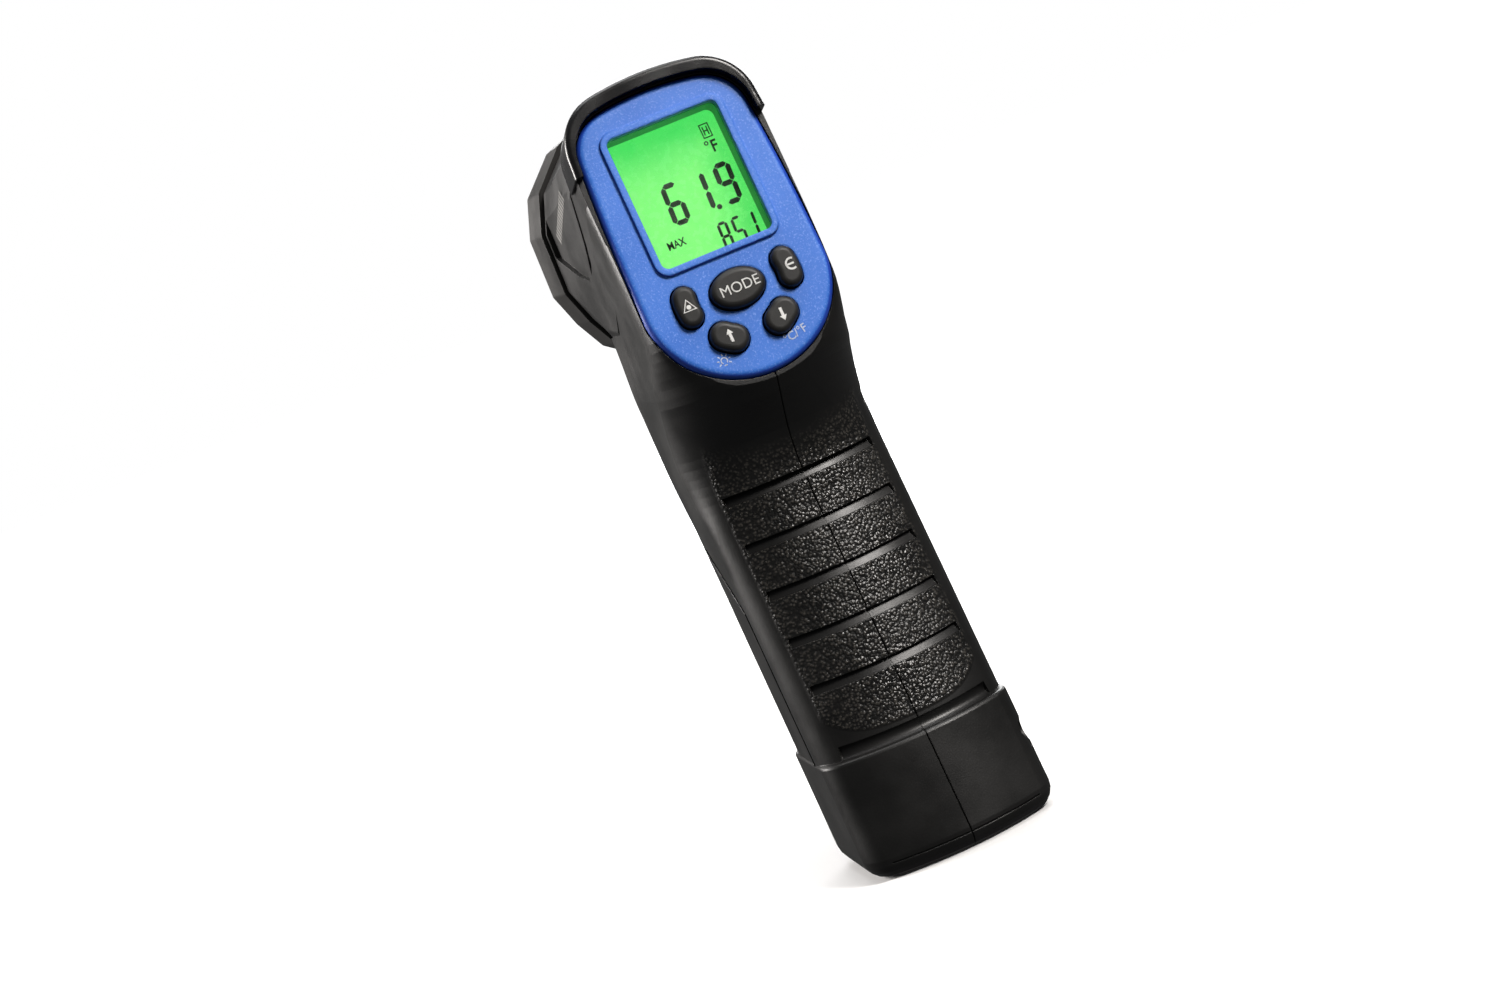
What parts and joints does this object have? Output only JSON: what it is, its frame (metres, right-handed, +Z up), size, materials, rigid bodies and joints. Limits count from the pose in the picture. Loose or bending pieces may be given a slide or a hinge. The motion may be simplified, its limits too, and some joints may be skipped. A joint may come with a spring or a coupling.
{
  "type": "infrared thermometer",
  "caption": "Pistol-grip infrared thermometer with a tilted backlit display, soft keys, a trigger, a faceted nose with a recessed lens, and a hinged battery door.",
  "frame": {"origin": "middle of the foot that the instrument stands on, on its resting face", "axes": "+X to the right of the person holding it, +Y forward along the sight line, +Z up"},
  "size_m": [0.0442, 0.096, 0.1691],
  "materials": {
    "housing_plastic": "fine spark-eroded texture, satin",
    "trigger_plastic": "satin",
    "nose_plastic": "satin",
    "hood_plastic": "smooth, semi-gloss",
    "blue_plastic": "fine speckled texture, satin",
    "clear_window": "clear, polished",
    "green_light_frame": "translucent, lit from behind",
    "lcd_green": "backlit display",
    "backlight": "diffuser",
    "black_rubber": "matt",
    "circuit_board": "solder mask",
    "steel": "zinc plated",
    "spring_steel": "drawn wire",
    "chip_plastic": "moulded epoxy",
    "ceramic_parts": "ceramic",
    "mat_rubber": "silicone",
    "key_rubber": "soft-touch silicone",
    "carbon": "carbon-filled",
    "battery_case": "lacquered can",
    "foam": "open foam",
    "red_wire": "smooth insulation",
    "black_wire": "smooth insulation",
    "optics_plastic": "dead matt",
    "lens_plastic": "milky, infrared-clear",
    "laser_brass": "turned",
    "sensor_metal": "plated",
    "plunger_plastic": "moulded"
  },
  "bodies": {
    "root": {"backlight_panel": "backlight", "battery": "battery_case", "battery_clip": "black_rubber", "black_lead": "black_wire", "board_capacitors": "ceramic_parts", "board_screws": "steel", "buzzer": "chip_plastic", "contact_strips": "black_rubber", "display_bezel": "blue_plastic", "display_hood": "hood_plastic", "display_shroud": "green_light_frame", "display_window": "clear_window", "door_hinge_pin": "steel", "housing_screws": "steel", "infrared_lens": "lens_plastic", "keypad_mat": "mat_rubber", "laser_module": "laser_brass", "laser_window": "clear_window", "lcd_glass": "lcd_green", "left_housing": "housing_plastic", "lens_retaining_ring": "optics_plastic", "lens_tube": "optics_plastic", "main_board": "circuit_board", "main_chip": "chip_plastic", "nose_ring": "nose_plastic", "red_lead": "red_wire", "right_housing": "housing_plastic", "sensor_board": "circuit_board", "sensor_pins": "sensor_metal", "thermopile_sensor": "sensor_metal", "trigger_board": "circuit_board", "trigger_pin": "steel", "trigger_spring": "spring_steel", "trigger_switch": "chip_plastic"},
    "battery_door": {"battery_door": "housing_plastic", "battery_pad": "foam"},
    "trigger": {"trigger": "trigger_plastic"},
    "switch_plunger": {"switch_plunger": "plunger_plastic"},
    "laser_key": {"laser_key": "key_rubber", "laser_contact_pill": "carbon"},
    "mode_key": {"mode_key": "key_rubber", "mode_contact_pill": "carbon"},
    "emissivity_key": {"emissivity_key": "key_rubber", "emissivity_contact_pill": "carbon"},
    "up_key": {"up_key": "key_rubber", "up_contact_pill": "carbon"},
    "down_key": {"down_key": "key_rubber", "down_contact_pill": "carbon"}
  },
  "joints": [
    {"name": "battery_door_hinge", "type": "hinge", "parent": "root", "child": "battery_door", "pos_m": [0, -0.0145, 0.0019], "axis": [-1, 0, 0], "range_deg": [0, 75]},
    {"name": "trigger_pull", "type": "hinge", "parent": "root", "child": "trigger", "pos_m": [0, 0.035, 0.1103], "axis": [-1, 0, 0], "range_deg": [0, 5], "stiffness_Nm_per_rad": 0.25, "springref_deg": -3.44},
    {"name": "switch_press", "type": "slide", "parent": "root", "child": "switch_plunger", "axis": [0, -1, 0], "range_m": [0, 0.0012]},
    {"name": "laser_key_press", "type": "slide", "parent": "root", "child": "laser_key", "axis": [0, 0.9744, -0.225], "range_m": [0, 0.0008], "stiffness_N_per_m": 500, "springref_m": -0.0004},
    {"name": "mode_key_press", "type": "slide", "parent": "root", "child": "mode_key", "axis": [0, 0.9744, -0.225], "range_m": [0, 0.0008], "stiffness_N_per_m": 500, "springref_m": -0.0004},
    {"name": "emissivity_key_press", "type": "slide", "parent": "root", "child": "emissivity_key", "axis": [0, 0.9744, -0.225], "range_m": [0, 0.0008], "stiffness_N_per_m": 500, "springref_m": -0.0004},
    {"name": "up_key_press", "type": "slide", "parent": "root", "child": "up_key", "axis": [0, 0.9744, -0.225], "range_m": [0, 0.0008], "stiffness_N_per_m": 500, "springref_m": -0.0004},
    {"name": "down_key_press", "type": "slide", "parent": "root", "child": "down_key", "axis": [0, 0.9744, -0.225], "range_m": [0, 0.0008], "stiffness_N_per_m": 500, "springref_m": -0.0004}
  ],
  "couplings": [
    {"joint": "switch_press", "follows": "trigger_pull", "m_per_rad": 0.013}
  ]
}
